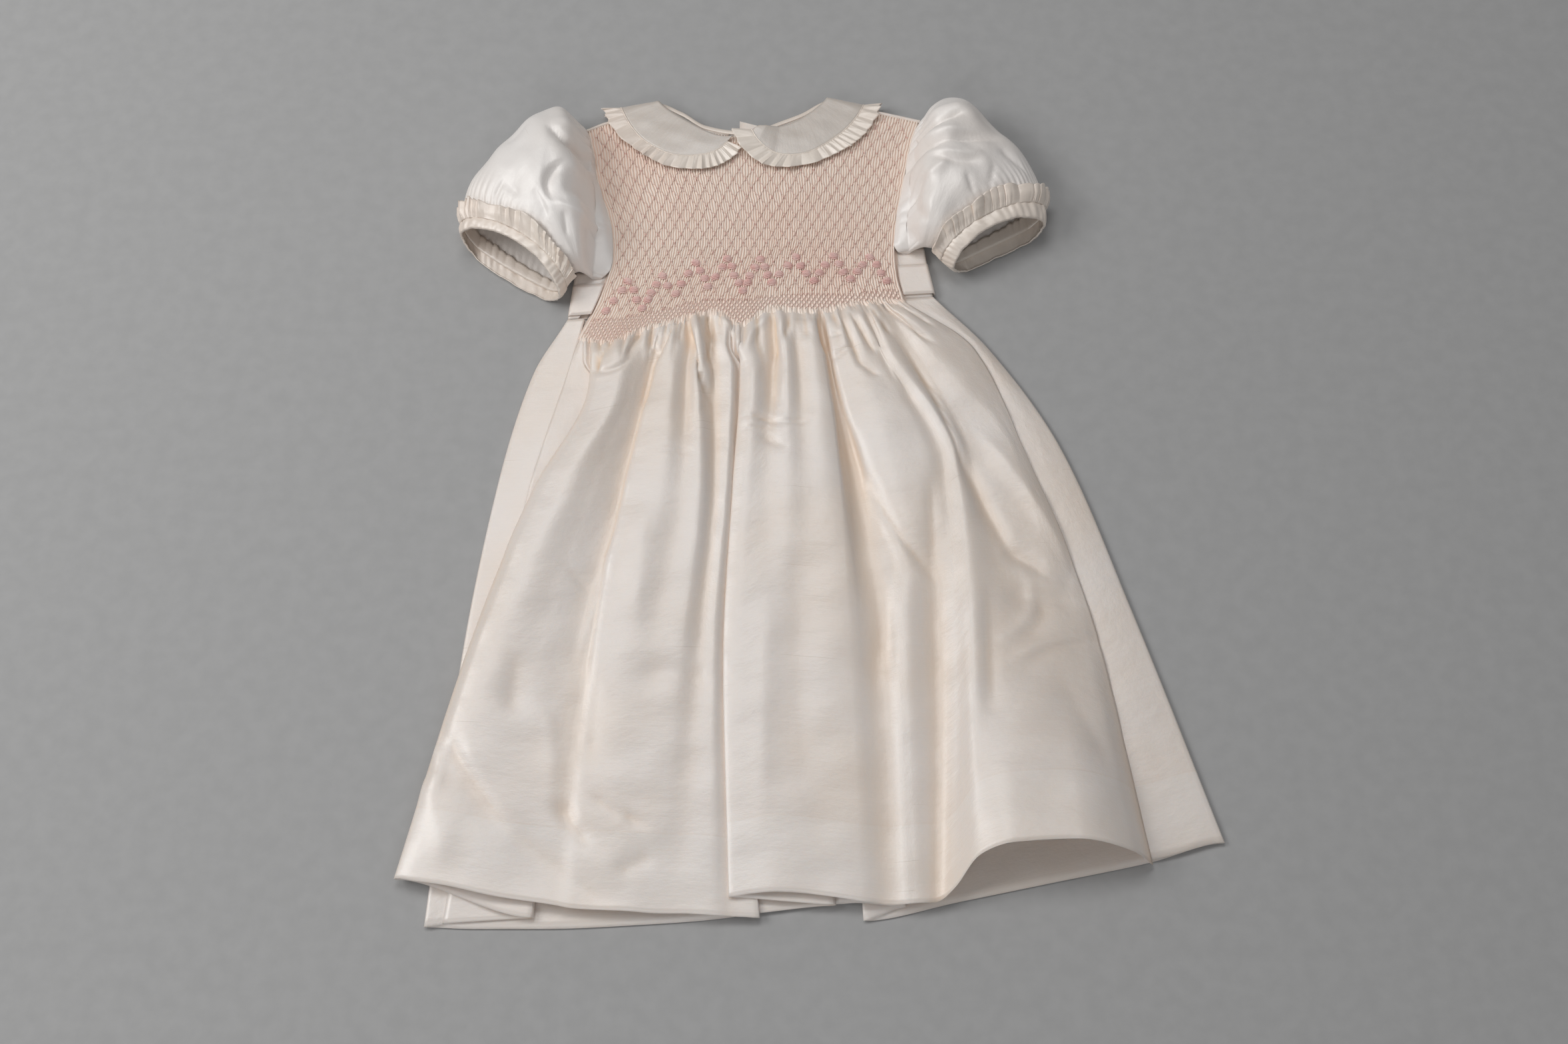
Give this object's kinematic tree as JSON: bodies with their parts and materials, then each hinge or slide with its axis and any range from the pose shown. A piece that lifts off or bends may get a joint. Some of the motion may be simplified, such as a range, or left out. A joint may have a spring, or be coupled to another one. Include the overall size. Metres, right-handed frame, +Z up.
{
  "type": "smocked dress",
  "caption": "Small child's silk dress laid flat, front up: smocked bodice front released into a gathered skirt, ruffled round collar, puff sleeves with ruffled cuffs, sash stubs at the sides.",
  "frame": {"origin": "centre of the bounding box, on the surface that the dress lies on", "axes": "+Z up from the surface, +Y from the hem to the collar, +X to the right of the dress as it is seen with the front up"},
  "size_m": [0.517, 0.6083, 0.0505],
  "materials": {
    "smocked_silk": "ivory silk with slubs, pleated and smocked in pink thread over the bodice",
    "silk": "ivory silk with fine slubs across and a soft sheen",
    "trim_silk": "ivory silk, cut as bias bands, ruffles and collar",
    "button_shell": "pearly buttons"
  },
  "bodies": {
    "root": {"front": "smocked_silk", "back_skirt": "silk", "back_bodice_left": "silk", "back_bodice_right": "silk", "sash_left": "silk", "sash_right": "silk", "sleeve_left": "silk", "sleeve_right": "silk", "cuff_band_left": "trim_silk", "cuff_band_right": "trim_silk", "cuff_ruffle_left": "trim_silk", "cuff_ruffle_right": "trim_silk", "collar_left": "trim_silk", "collar_right": "trim_silk", "collar_ruffle_left": "trim_silk", "collar_ruffle_right": "trim_silk", "neck_binding": "trim_silk", "button_1": "button_shell", "button_2": "button_shell", "button_3": "button_shell"}
  },
  "joints": []
}
